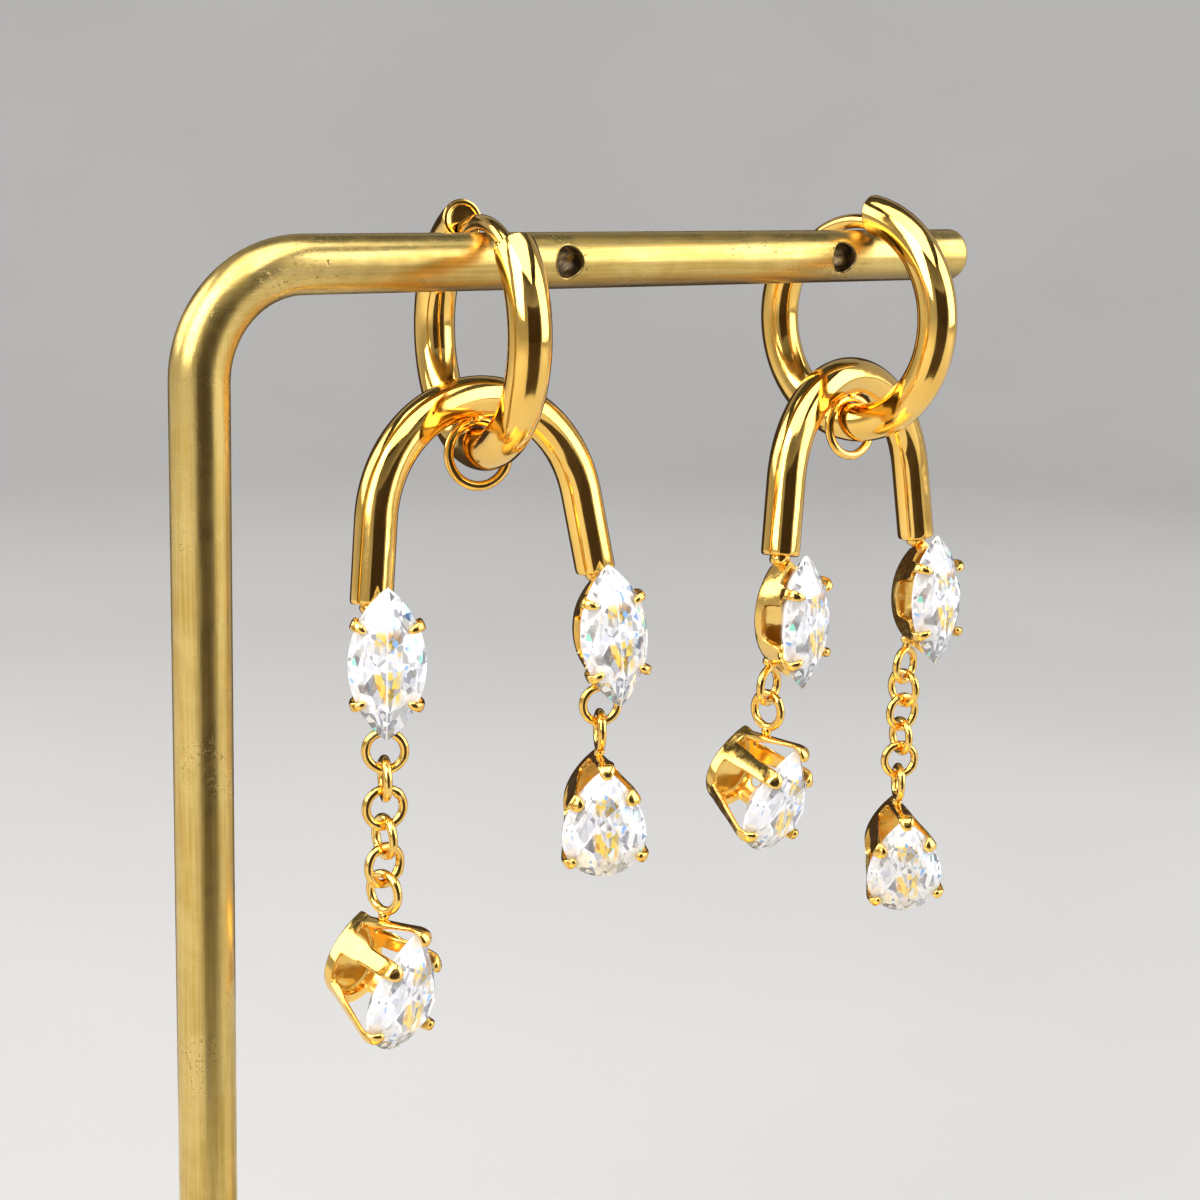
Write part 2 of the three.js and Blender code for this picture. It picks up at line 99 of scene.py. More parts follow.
# Angles are (turn, lean, sway). A drop is (name, leg, the marquise's angles, the leg's end and the fixed
# ring in the marquise's frame, that ring's own turn, the number of links, the pear's angles).
EARRINGS = {
    "left": {
        "centre": (20.1, 0.1, -4.57), "turn": -8.3, "rear": 1, "roll": 2, "arch": (4.1, 7.1, -0.8),
        "drops": (
            ("long", -1, (-30, 1, 0), (-1.05, 3.4, -2.3), (-0.1, -6.25, -2.2), 0, 4, (15, -6.5, 11)),
            ("short", 1, (-12, 5, -5), (0, 4.35, -2.3), (-0.3, -5.25, -2.85), -8, 0, (-27.5, -3, -1)),
        ),
    },
    "right": {
        "centre": (52.64, -0.25, -4.56), "turn": 6.8, "rear": -1, "roll": 16, "arch": (15.5, 5.8, 3.1),
        "drops": (
            ("short", -1, (13.7, -2, -5), (0, 4.6, -2.3), (-0.1, -5.4, -3.0), 8, 0, (8.5, -12, 14)),
            ("long", 1, (0, 4, 1), (-0.1, 4.7, -2.3), (-0.25, -5.55, -3.05), 15, 4, (-31, -8, -4)),
        ),
    },
}

# ---------- how fine the round forms are ----------
TUBE_SIDES = 56
RING_SIDES = 18
RING_STEPS = 56
ROD_SIDES = 64

ALONG, AWAY, UP = Vector((1, 0, 0)), Vector((0, 1, 0)), Vector((0, 0, 1))


# ---------- parts: a part is (vertices in mm, faces) ----------
def skin(loops, closed=False):
    """Quads between loops of the same number of points, with a face over each end unless it is closed."""
    n, rows = len(loops[0]), len(loops)
    verts = [Vector(p) for loop in loops for p in loop]
    faces = []
    for j in range(rows if closed else rows - 1):
        a, b = j * n, (j + 1) % rows * n
        faces += [(a + i, a + (i + 1) % n, b + (i + 1) % n, b + i) for i in range(n)]
    if not closed:
        faces += [tuple(reversed(range(n))), tuple(range((rows - 1) * n, rows * n))]
    return verts, faces


def joined(parts):
    verts, faces = [], []
    for v, f in parts:
        faces += [tuple(i + len(verts) for i in face) for face in f]
        verts += v
    return verts, faces


def moved(part, place):
    return [place @ v for v in part[0]], part[1]


def mesh_of(name, part, scale=1.0, creases=None):
    mesh = bpy.data.meshes.new(name)
    bm = bmesh.new()
    verts = [bm.verts.new(v * scale) for v in part[0]]
    for face in part[1]:
        bm.faces.new([verts[i] for i in face])
    if creases:
        layer = bm.edges.layers.float.new("crease_edge")
        for (a, b), value in creases.items():
            edge = bm.edges.get((verts[a], verts[b]))
            if edge:
                edge[layer] = value
    bmesh.ops.recalc_face_normals(bm, faces=bm.faces)
    bm.to_mesh(mesh)
    bm.free()
    return mesh


def linked(name, data):
    """A new object in the scene."""
    obj = bpy.data.objects.new(name, data)
    bpy.context.scene.collection.objects.link(obj)
    return obj


def evaluated(part, kind, creases=None, **settings):
    """The part after one modifier."""
    obj = linked("work", mesh_of("work", part, 1.0, creases))
    modifier = obj.modifiers.new("m", kind)
    for key, value in settings.items():
        setattr(modifier, key, value)
    bpy.context.view_layer.update()
    mesh = bpy.data.meshes.new_from_object(obj.evaluated_get(bpy.context.evaluated_depsgraph_get()))
    made = [v.co.copy() for v in mesh.vertices], [tuple(p.vertices) for p in mesh.polygons]
    bpy.data.objects.remove(obj)
    bpy.data.meshes.remove(mesh)
    return made


def cut(part, tools):
    """The part less each tool."""
    for tool in tools:
        cutter = linked("cutter", mesh_of("cutter", tool))
        part = evaluated(part, "BOOLEAN", operation="DIFFERENCE", solver="EXACT", object=cutter)
        bpy.data.objects.remove(cutter)
    return part


def headings(points, reach):
    """The path's direction at each of its points, from the points so many steps before and after."""
    last = len(points) - 1
    ends = [(points[max(i - reach, 0)], points[min(i + reach, last)]) for i in range(last + 1)]
    return [(b - a).normalized() for a, b in ends]


def frames_along(points):
    """Two directions square to the path at each of its points, carried along it without twist."""
    tangents = headings(points, 1)
    side = tangents[0].orthogonal().normalized()
    made = []
    for t in tangents:
        side = (side - t * side.dot(t)).normalized()
        made.append((side, t.cross(side)))
    return made


def turns(count):
    return [2 * pi * i / count for i in range(count)]


def circle(centre, across, up, radius, count):
    """A loop of points in the plane of two unit vectors."""
    return [centre + (across * cos(a) + up * sin(a)) * radius for a in turns(count)]


def pipe(points, radii, sides):
    """A round bar along a path, its radius given for each point."""
    steps = zip(points, radii, frames_along(points))
    return skin([circle(p, u, v, r, sides) for p, r, (u, v) in steps])


def rounds(profile, angles):
    """A loop about the upright for each (radius, height) of a profile."""
    return [[Vector((r * cos(a), r * sin(a), z)) for a in angles] for r, z in profile]


def ring(centre, across, up, radius, wire, seam=None):
    """A wire ring in the plane of two unit vectors; at its seam the solder stands a little proud."""
    proud, reach = 0.05, 9
    axis = across.cross(up)
    loops = []
    for a in turns(RING_STEPS):
        out = across * cos(a) + up * sin(a)
        r = wire
        if seam is not None:
            gap = math.degrees(abs((a - radians(seam) + pi) % (2 * pi) - pi))
            r += proud * math.exp(-((gap / reach) ** 2))
        loop = []
        for b in turns(RING_SIDES):
            loop.append(centre + out * (radius + r * cos(b)) + axis * r * sin(b))
        loops.append(loop)
    return skin(loops, closed=True)


def taken(bm):
    """The part that a bmesh holds."""
    part = [v.co.copy() for v in bm.verts], [tuple(v.index for v in f.verts) for f in bm.faces]
    bm.free()
    return part


def blob(centre, size, seed):
    """A small lump of solder, uneven in a way of its own for each seed."""
    uneven, lumps = 0.16, 1.3
    bm = bmesh.new()
    bmesh.ops.create_icosphere(bm, subdivisions=3, radius=1)
    for v in bm.verts:
        lump = 1 + uneven * noise.noise(v.co * lumps + Vector((seed, 2 * seed, 0)))
        v.co = centre + Vector((v.co.x * size[0], v.co.y * size[1], v.co.z * size[2])) * lump
    return taken(bm)


def facing(at, angles):
    """The placing of a piece whose own frame has x across, y up and z to the viewer's side."""
    turn, lean, sway = angles
    place = Matrix.Translation(at)
    place @= Matrix.Rotation(radians(turn), 4, "Z")
    place @= Matrix.Rotation(radians(90 - lean), 4, "X")
    return place @ Matrix.Rotation(radians(-sway), 4, "Z")


# ---------- outlines of the stones ----------
class Outline:
    """A closed outline. A share is a place on it: how much of its length lies before, from the lower end."""

    def __init__(self, points):
        self.points = [Vector(p).to_3d() for p in points]
        self.sides = list(zip(self.points, self.points[1:] + self.points[:1]))
        self.steps = [(b - a).length for a, b in self.sides]
        self.length = sum(self.steps)
        self.half_w = max(p.x for p in self.points)
        self.half_l = max(p.y for p in self.points)

    def at(self, share):
        """(point, outward direction) at a share."""
        left = share % 1 * self.length
        for (a, b), step in zip(self.sides, self.steps):
            if left <= step:
                break
            left -= step
        along = (b - a).normalized()
        return a.lerp(b, left / step), Vector((along.y, -along.x, 0))

    def share_of(self, point):
        """The share at the outline's point nearest to this one."""
        best, gone, found = 1e9, 0, 0
        for (a, b), step in zip(self.sides, self.steps):
            t = min(1, max(0, (point - a).dot(b - a) / step**2))
            miss = (a.lerp(b, t) - point).length
            if miss < best:
                best, found = miss, gone + t * step
            gone += step
        return found / self.length

    def share_at(self, degrees):
        """The share where a ray from the middle leaves the outline."""
        ray = Vector((cos(radians(degrees)), sin(radians(degrees)), 0))
        fine = 2000
        return max((i / fine for i in range(fine)), key=lambda s: self.at(s)[0].normalized().dot(ray))


def marquise_outline(per_side):
    w, h = MARQUISE["half_w"], MARQUISE["half_l"]
    r = (w * w + h * h) / (2 * w)
    half = math.asin(h / r)
    points = []
    for sign in (1, -1):
        for i in range(per_side):
            a = sign * (-half + 2 * half * i / per_side)
            points.append((sign * (r * cos(a) - (r - w)), r * sin(a)))
    return Outline(points)


def pear_outline(per_side):
    w, h = PEAR["half_w"], PEAR["half_l"]
    waist = -h / 4

    def half_width(y):
        if y < waist:
            return w * sqrt(max(0, 1 - ((y - waist) / (h + waist)) ** 2))
        return w * (1 - min(1, (y - waist) / (h - waist)) ** 1.9) ** 0.95

    heights = [-h * cos(pi * i / per_side) for i in range(per_side + 1)]
    right = [(half_width(y), y) for y in heights]
    left = [(-half_width(y), y) for y in heights[1:-1]]
    return Outline(right + left[::-1])


def spans(shares):
    """Each share with the next one round the outline."""
    return zip(shares, [*shares[1:], shares[0] + 1])


# ---------- cut stones ----------
def trimmed(bm, point, normal):
    """Cuts away what lies beyond a plane and closes the cut with one facet."""
    geom = bm.verts[:] + bm.edges[:] + bm.faces[:]
    made = bmesh.ops.bisect_plane(bm, geom=geom, dist=1e-5, plane_co=point, plane_no=normal, clear_outer=True)
    edges = [g for g in made["geom_cut"] if isinstance(g, bmesh.types.BMEdge)]
    if edges:
        bmesh.ops.edgeloop_fill(bm, edges=edges)


def stone(outline, spec, mains):
    """A brilliant: main facets at the shares given, girdle facets beside them and stars round the table."""
    beside = (0.3, 0.7)  # where the girdle facets lie between two main ones
    above, below = 0.16, 0.13  # how much steeper they are
    flatter, star_out = 0.55, 0.12
    bm = bmesh.new()
    half = spec["girdle"] / 2
    top, bottom = half + spec["crown"], -half - spec["pavilion"]
    low = [bm.verts.new((p.x, p.y, bottom)) for p in outline.points]
    high = [bm.verts.new((p.x, p.y, top)) for p in outline.points]
    count = len(low)
    bm.faces.new(low[::-1])
    bm.faces.new(high)
    for i in range(count):
        j = (i + 1) % count
        bm.faces.new((low[i], low[j], high[j], high[i]))

    def plane(share, level, target, steeper=0.0):
        p, out = outline.at(share)
        along = Vector((-out.y, out.x, 0))
        start = Vector((p.x, p.y, level))
        slope = (target - start).normalized()
        normal = along.cross(slope)
        if normal.dot(out) < 0:
            normal = -normal
        normal = (normal.normalized() + out * steeper).normalized()
        trimmed(bm, start, normal)
        return normal

    def table_point(share):
        p, _ = outline.at(share)
        return Vector((p.x * spec["table"], p.y * spec["table"], top))

    def keel_point(share):
        p, _ = outline.at(share)
        reach, ahead = spec["keel"], 1.25
        y = max(-reach, min(reach, p.y * reach / outline.half_l * ahead))
        return Vector((0, spec["low"] + y, bottom))

    for share, following in spans(mains):
        middle = (share + following) / 2
        normal = plane(share, half, table_point(share))
        plane(share, -half, keel_point(share))
        for t in beside:
            between = share + (following - share) * t
            plane(between, half, table_point(between), above)
            plane(between, -half, keel_point(between), below)
        lifted = Vector((normal.x, normal.y, 0)).length
        _, out = outline.at(middle)
        tilt = (out * lifted * flatter + UP).normalized()
        trimmed(bm, table_point(middle) + out * star_out, tilt)
    bmesh.ops.remove_doubles(bm, verts=bm.verts, dist=2e-3)
    bmesh.ops.dissolve_degenerate(bm, edges=bm.edges, dist=1e-3)
    bm.verts.index_update()
    return taken(bm)


# ---------- baskets that hold the stones ----------
class Basket:
    """A pressed sheet that rises from a closed back, with windows, and claws that fold over the stone.

    The cup also gives its rows' heights (levels, then rise up to the claws' knee), its sharp tips, its
    slimmer claws (light), the claws' width at the foot and how far they fold in (reach). kept tells
    whether the wall is there at a point of the outline and a height.
    """

    def __init__(self, outline, cup, claw_angles, claw_w, borders, kept):
        column = 0.8  # about the width of a column of faces
        self.outline, self.cup, self.claw_w, self.kept = outline, cup, claw_w, kept
        self.light = [outline.share_at(a) for a in cup["light"]]
        self.claws = [outline.share_at(a) for a in claw_angles]
        self.foot_w = cup["foot_w"]
        half = self.foot_w / 2 / outline.length
        fixed = sorted({(s + d) % 1 for s in self.claws for d in (-half, 0, half)} | {b % 1 for b in borders})
        self.columns = []
        for a, b in spans(fixed):
            pieces = max(1, round((b - a) * outline.length / column))
            self.columns += [(a + (b - a) * k / pieces) % 1 for k in range(pieces)]

    def wall(self, share, z, inset):
        """A point of the wall at a height; the inset moves it in from the outer face."""
        p, _ = self.outline.at(share)
        t = 1 - z / self.cup["back"]
        scale = self.cup["scale"] + (1 - self.cup["scale"]) * t
        shift = self.cup["shift"] * (1 - t)
        x = p.x * (scale - inset / self.outline.half_w)
        y = p.y * (scale - 1.4 * inset / self.outline.half_l) + shift
        return Vector((x, y, z))

    def back(self, share, k, z, inset):
        """A point of the closed back, at the share k of the way out from its middle."""
        edge = self.wall(share, self.cup["back"], inset)
        middle = Vector((0, self.cup["shift"], 0))
        p = middle + (edge - middle) * k
        return Vector((p.x, p.y, z))

    def claw_of(self, share):
        """(claw's own share, the column's distance from its middle) or None."""
        for c in self.claws:
            off = ((share - c + 0.5) % 1 - 0.5) * self.outline.length
            if abs(off) < self.foot_w / 2 + 1e-4:
                return c, off
        return None

    def claw_frame(self, c):
        """(claw's place on the outline, its outward direction, the direction along the outline)."""
        at, _ = self.outline.at(c)
        spread = 0.55 * self.claw_w / self.outline.length
        outward = (self.outline.at(c - spread)[1] + self.outline.at(c + spread)[1]).normalized()
        return at, outward, Vector((-outward.y, outward.x, 0))

    def claw_point(self, share, out, z, narrow, dome=0.0):
        """A point of a claw, so far out from the outline and so high, with its middle raised by the dome."""
        slim, start, fold = 0.72, -0.3, 0.35
        c, off = self.claw_of(share)
        at, outward, along = self.claw_frame(c)
        raised = dome * (1 - (2 * off / self.foot_w) ** 2)
        narrow *= self.claw_w / self.foot_w
        if c in self.light:
            narrow *= slim
            out = max(out, start + fold * out)
        return at + outward * (out + 0.5 * raised) + along * off * narrow + Vector((0, 0, z + raised))

    def rows(self):
        """Each row as a function of the share that gives (outer point, inner point)."""
        cup = self.cup
        low = cup["back"]
        wall = cup["wall"]
        made = []
        for k in (0.06, 0.5, 0.86):
            made.append(lambda s, k=k: (self.back(s, k, low, 0), self.back(s, k, low + wall, wall)))
        corner = 0.1
        made.append(lambda s: (self.back(s, 0.96, low, 0), self.back(s, 0.94, low + wall, wall)))
        made.append(lambda s: (self.wall(s, low + corner, 0), self.wall(s, low + wall + corner, wall)))
        for z in cup["levels"]:
            made.append(lambda s, z=z: (self.wall(s, z, 0), self.wall(s, z, wall)))
        foot = cup["levels"][-1]
        knee = -0.2
        outer = CLAW_T + GAP
        for t in cup["rise"]:

            def lean(s, t=t):
                above = (self.claw_point(s, out, knee, 1) for out in (outer, GAP))
                return tuple(self.wall(s, foot, inset).lerp(p, t) for inset, p in zip((0, wall), above))

            made.append(lean)
        # Each row over the stone: outer face's place and height, inner face's, width and dome.
        fold = (
            (outer, 0.3, GAP, 0.34, 0.94, 0.03),
            (outer - 0.05, 0.6, 0.03, 0.48, 0.9, 0.07),
            (0.08, 0.86, -0.12, 0.62, 0.84, 0.11),
            (-0.2, 0.98, -0.34, 0.7, 0.72, 0.14),
            (-0.48, 1.0, -0.54, 0.78, 0.54, 0.12),
            (-0.68, 0.94, -0.66, 0.82, 0.32, 0.05),
        )
        for out, z, inner, inner_z, narrow, dome in fold:
            out, inner = (x * cup["reach"] if x < 0 else x for x in (out, inner))
            faces = (out, z, narrow, dome), (inner, inner_z, narrow)
            made.append(lambda s, faces=faces: tuple(self.claw_point(s, *face) for face in faces))
        return made

    def part(self):
        rows = self.rows()
        plate_rows = 5
        wall_rows = plate_rows + len(self.cup["levels"])
        columns, count = self.columns, len(self.columns)
        verts, index, row_of = [], {}, []

        def vertex(j, i, inner):
            key = (j, i % count, inner)
            if key not in index:
                index[key] = len(verts)
                row_of.append(j)
                verts.append(rows[j](columns[i % count])[inner])
            return index[key]

        def present(j, i):
            """Whether the cell above row j and beside column i is there."""
            if not 0 <= j < len(rows) - 1:
                return False
            a, b = columns[i % count], columns[(i + 1) % count]
            middle = (a + (b - a) % 1 / 2) % 1
            if j >= wall_rows - 1:
                return all(self.claw_of(share) is not None for share in (middle, a, b))
            if j < plate_rows - 1:
                return True
            low = rows[j](middle)[0].z
            high = rows[j + 1](middle)[0].z
            return self.kept(self.outline.at(middle)[0], (low + high) / 2)

        faces, creases = [], {}
        wall_crease, claw_crease, tip_crease = 0.55, 0.15, 0.7

        def crease(a, b, value=None):
            row = min(row_of[a], row_of[b])
            creases[(a, b)] = value or (wall_crease if row < wall_rows + 1 else claw_crease)

        for j in range(len(rows) - 1):
            for i in range(count):
                if not present(j, i):
                    continue
                corners = ((j, i), (j, i + 1), (j + 1, i + 1), (j + 1, i))
                o, n = ([vertex(*corner, inner) for corner in corners] for inner in (0, 1))
                faces += [tuple(o), tuple(reversed(n))]
                edges = (
                    (present(j + 1, i), 3, 2),
                    (j == 0 or present(j - 1, i), 1, 0),
                    (present(j, i - 1), 0, 3),
                    (present(j, i + 1), 2, 1),
                )
                for covered, a, b in edges:
                    if not covered:
                        faces.append((o[a], o[b], n[b], n[a]))
                        crease(o[a], o[b])
                        crease(n[a], n[b])
        faces.append(tuple(vertex(0, i, 0) for i in reversed(range(count))))
        faces.append(tuple(vertex(0, i, 1) for i in range(count)))
        for j in range(3, wall_rows - 1):
            for tip in self.cup["tips"]:
                i = min(range(count), key=lambda i: abs((columns[i] - tip + 0.5) % 1 - 0.5))
                for inner in (0, 1):
                    if (j, i, inner) in index and (j + 1, i, inner) in index:
                        crease(index[(j, i, inner)], index[(j + 1, i, inner)], tip_crease)
        return evaluated((verts, faces), "SUBSURF", creases, levels=2, render_levels=2)


def marquise_basket():
    outline = marquise_outline(48)
    front = MARQUISE_CUP["front"]
    window_y, window_low, notch_low, notch_y = 1.7, -2.4, -1.35, 3.2

    def kept(p, z):
        in_window = abs(p.y) < window_y and z > window_low
        in_notch = abs(p.y) > notch_y and z > notch_low
        return not in_window and not in_notch

    borders = [0.0, 0.5]
    wide, long = 3, 6.2  # a lozenge a little larger than the outline
    for y in (window_y, notch_y):
        for x in (wide, -wide):
            for sign in (1, -1):
                borders.append(outline.share_of(Vector((x * (1 - y / long), sign * y, 0))))
    cup = dict(MARQUISE_CUP, levels=(window_low, notch_low, front), rise=(0.5, 1.0), tips=(0.0, 0.5))
    cup.update(light=(), foot_w=MARQUISE_CLAW_W, reach=1)
    return Basket(outline, cup, MARQUISE_CLAWS, MARQUISE_CLAW_W, borders, kept).part()


def pear_basket():
    outline = pear_outline(64)
    back, front = PEAR_CUP["back"], PEAR_CUP["front"]
    cup = dict(PEAR_CUP, levels=((back + front) / 2, front), rise=(0.08, 0.5, 0.92, 1.0), tips=(0.5,))
    cup.update(light=(-42, -132), foot_w=1.9, reach=0.85)
    return Basket(outline, cup, PEAR_CLAWS, PEAR_CLAW_W, [0.0, 0.5], lambda p, z: True).part()


# ---------- stand ----------
def arc(centre, radius, first, second, start, end, steps):
    made = []
    for i in range(steps + 1):
        a = radians(start + (end - start) * i / steps)
        made.append(centre + first * radius * cos(a) + second * radius * sin(a))
    return made


def rod():
    """The bent rod, its end rounded off and its two holes countersunk."""
    foot = BASE["height"] - BASE["socket"] + GAP
    straight = ARM_Z - BEND_R
    points = [Vector((0, 0, foot + (straight - foot) * i / 30)) for i in range(30)]
    points += arc(Vector((BEND_R, 0, straight)), BEND_R, -ALONG, UP, 0, 90, 20)
    reach = ARM_END_X - 0.5 - BEND_R
    points += [Vector((BEND_R + reach * i / 20, 0, ARM_Z)) for i in range(1, 21)]
    radii = [ROD_R] * len(points)
    # The rounded end: (distance from it, how much the radius shrinks).
    for back, inset in ((0.3, 0.02), (0.12, 0.12), (0.03, 0.26), (0.0, 0.5), (0.0, 1.2)):
        points.append(Vector((ARM_END_X - back - (1e-3 if inset < 1 else 0), 0, ARM_Z)))
        radii.append(ROD_R - inset)
    body = pipe(points, radii, ROD_SIDES)
    rim = sqrt(ROD_R**2 - HOLE_R**2)
    half = ((rim - 0.16, HOLE_R - 0.02), (rim + 0.05, 1.1), (2.6, 1.12))
    profile = [(-y, r) for y, r in half[::-1]] + list(half)
    tools = []
    for x in HOLE_X:
        loops = []
        for y, r in profile:
            loop = []
            for a in turns(40):
                wobble = 1 + 0.015 * sin(3 * a + x) + 0.01 * sin(5 * a)
                loop.append(Vector((x + r * wobble * cos(a), y, ARM_Z + r * wobble * sin(a))))
            loops.append(loop)
        tools.append(skin(loops))
    lips = [lip(x, side) for x in HOLE_X for side in (-1, 1)]
    return joined([cut(body, tools), *lips])


def lip(x, side):
    """The burr that the drill left round a hole."""
    r, thick = HOLE_R + 0.06, 0.07
    loops = []
    for a in turns(48):
        out = Vector((cos(a), 0, sin(a)))
        rise = sqrt(ROD_R**2 - (r * out.z) ** 2)
        skyward = Vector((0, side * rise, r * out.z)) / ROD_R
        centre = Vector((x + r * out.x, side * (rise - 0.02), ARM_Z + r * out.z))
        loops.append(circle(centre, out, skyward, thick, 8))
    return skin(loops, closed=True)


def plate():
    """The base: a plate with rounded corners and softened edges, and the rod's socket."""
    corner, height = BASE["corner"], BASE["height"]
    centres = (
        (BASE["max_x"] - corner, -BASE["half_y"] + corner, -90),
        (BASE["max_x"] - corner, BASE["half_y"] - corner, 0),
        (BASE["min_x"] + corner, BASE["half_y"] - corner, 90),
        (BASE["min_x"] + corner, -BASE["half_y"] + corner, 180),
    )
    steps = 14

    def loop(inset, z):
        reach = corner - inset
        points = []
        for x, y, start in centres:
            for i in range(steps + 1):
                a = radians(start + 90 * i / steps)
                points.append(Vector((x + reach * cos(a), y + reach * sin(a), z)))
        return points

    soft = 0.5
    loops = [loop(0.35, 0), loop(0.1, 0.1), loop(0, 0.35)]
    for i in range(6):
        a = radians(90 * i / 5)
        loops.append(loop(soft * (1 - cos(a)), height - soft + soft * sin(a)))
    slab = skin(loops)
    socket = height - BASE["socket"]
    r = ROD_R + GAP
    wide = r + 0.4  # the socket's upper edge is softened
    profile = ((r, socket), (r, height - 0.2), (wide, height + 0.2), (wide, height + 1))
    return cut(slab, [skin(rounds(profile, turns(48)))])


# ---------- earring ----------
class Hoop:
    """The hoop's own directions: angles run from the top of the circle, ahead to the long end."""

    def __init__(self, e):
        self.centre = Vector(e["centre"]) + UP * ARM_Z
        a = radians(e["turn"])
        self.ahead = Vector((sin(a), -cos(a), 0)) * -e["rear"]
        self.normal = UP.cross(self.ahead)
        self.start = LONG_END - e["roll"]
        self.end = 360 - SHORT_END - e["roll"]
        self.eye = self.end + POST_HINGE

    def radial(self, degrees):
        a = radians(degrees)
        return UP * cos(a) + self.ahead * sin(a)

    def point(self, degrees, out, side):
        return self.centre + self.radial(degrees) * out + self.normal * side

    def section(self, degrees, slant, scale, depth):
        """A loop of the tube in a slanted cut; slant is -1 at the long end and +1 at the short."""
        loop = []
        for b in turns(TUBE_SIDES):
            off = TUBE_R * scale * cos(b)
            along = slant * off * math.tan(radians(CUT_SLANT)) - slant * depth
            out = HOOP_R + off
            loop.append(self.point(degrees + math.degrees(along / out), out, TUBE_R * scale * sin(b)))
        return loop


def hoop_tube(h):
    """The bent tube: each end has a rim round a disc that lies a little deeper."""
    # Rings of the end's face: (share of the radius, depth).
    face = (
        (0.05, 0.13), (0.45, 0.12), (0.66, 0.12), (0.71, 0.1), (0.74, 0.03),
        (0.78, 0), (0.9, 0), (0.955, 0.02), (0.99, 0.08), (1, 0.16),
    )
    loops = [h.section(h.start, -1, scale, depth) for scale, depth in face]
    steps = 120
    margin = 3.5
    for i in range(steps + 1):
        loops.append(h.section(h.start + margin + (h.end - h.start - 2 * margin) * i / steps, 0, 1, 0))
    loops += [h.section(h.end, 1, scale, depth) for scale, depth in reversed(face)]
    return skin(loops)


def hoop_slot(h):
    """What is cut out of the long end's inner side, where the ear wire snaps in."""
    half, deep, out = 0.64, 1.25, 0.5
    loops = []
    for along in (-out, 0.4, deep - 0.3, deep):
        tight = 1 if along < deep else 0.7
        profile = []
        for a in turns(24):
            side = half * tight * max(-1, min(1, 1.25 * cos(a)))
            rise = POST_ARC_R - 0.1 + half * tight * sin(a) if sin(a) > 0 else POST_ARC_R - 2.2
            profile.append(h.point(h.start + math.degrees(along / POST_ARC_R), rise, side))
        loops.append(profile)
    return skin(loops)


def lug(h, side):
    """A small plate from the short end that carries one end of the ear wire's pin."""
    thick, r = 0.34, 0.5
    loops = []
    for off in (side - thick / 2, side + thick / 2):
        loop = []
        for a in turns(24):
            back = 1.1 if cos(a) < 0 else 0
            along = r * cos(a) - back
            loop.append(h.point(h.eye + math.degrees(along / POST_ARC_R), POST_ARC_R + r * sin(a), off))
        loops.append(loop)
    smaller, step = 0.88, h.normal * 0.05  # the edges are a little rounded
    ends = []
    for loop in loops:
        middle = sum(loop, Vector()) / len(loop)
        ends.append([middle + (p - middle) * smaller for p in loop])
    return skin([ends[0], [p + step for p in loops[0]], [p - step for p in loops[1]], ends[1]])


def pin(h):
    profile = ((-1.0, 0.1), (-0.97, 0.2), (-0.9, 0.25), (0.9, 0.25), (0.97, 0.2), (1.0, 0.1))
    points = [h.point(h.eye, POST_ARC_R, s) for s, _ in profile]
    return pipe(points, [r for _, r in profile], 20)


def hoop_piece(h):
    body = cut(hoop_tube(h), [hoop_slot(h)])
    return joined([body, lug(h, 0.72), lug(h, -0.72), pin(h)])


def post_piece(h):
    """The ear wire, its tip rounded inside the slot and its other end rolled into an eye."""
    tip = h.start + 7
    end = h.end - 360 + POST_HINGE
    angles = [tip + (end - tip) * i / 60 for i in range(61)]
    points = [h.point(a, POST_ARC_R, 0) for a in angles]
    radii = [POST_R - 0.02] * len(points)
    radii[0], radii[1] = 0.25, 0.46
    wire = pipe(points, radii, 28)
    eye = []
    for side, r in ((-0.5, 0.4), (-0.46, 0.52), (-0.38, 0.58), (0.38, 0.58), (0.46, 0.52), (0.5, 0.4)):
        middle, out, on = h.point(end, POST_ARC_R, side), h.radial(end), h.radial(end + 90)
        eye.append(circle(middle, out, on, r, 32))
    return joined([wire, skin(eye)])


def arch_place(e, h):
    bottom = h.centre - UP * HOOP_R
    place = facing(bottom, e["arch"])
    crown = bottom + (place.to_3x3() @ AWAY) * CROWN_RISE
    return Matrix.Translation(crown - bottom) @ place


def leg_end(leg):
    a = radians(90 - ARCH_SPLAY)
    splay = radians(ARCH_SPLAY)
    x = ARCH_R * sin(a) + ARCH_LEG * sin(splay)
    y = ARCH_R * (cos(a) - 1) - ARCH_LEG * cos(splay)
    return Vector((leg * x, y, 0))


def arch_tube():
    """The bow and its two legs, the cut ends softened."""
    swing = 90 - ARCH_SPLAY
    bow = arc(Vector((0, -ARCH_R, 0)), ARCH_R, AWAY, ALONG, -swing, swing, 90)
    first, last = leg_end(-1), leg_end(1)

    def leg(end, start):
        way = start - end
        shares = (0, 0, 0.012, 0.03, 0.06, 0.2, 0.4, 0.6, 0.8)
        return [end + way * s for s in shares]

    soft = [0.9, 1.25, 1.35, 1.39, ARCH_TUBE_R]
    down = leg(first, bow[0])
    up = leg(last, bow[-1])
    points = down + bow + up[::-1]
    radii = soft + [ARCH_TUBE_R] * (len(down) - len(soft))
    radii = radii + [ARCH_TUBE_R] * len(bow) + radii[::-1]
    loops = []
    for p, r, along in zip(points, radii, headings(points, 2)):
        side = Vector((along.y, -along.x, 0))
        loops.append(circle(p, side, UP, r, TUBE_SIDES))
    return skin(loops)


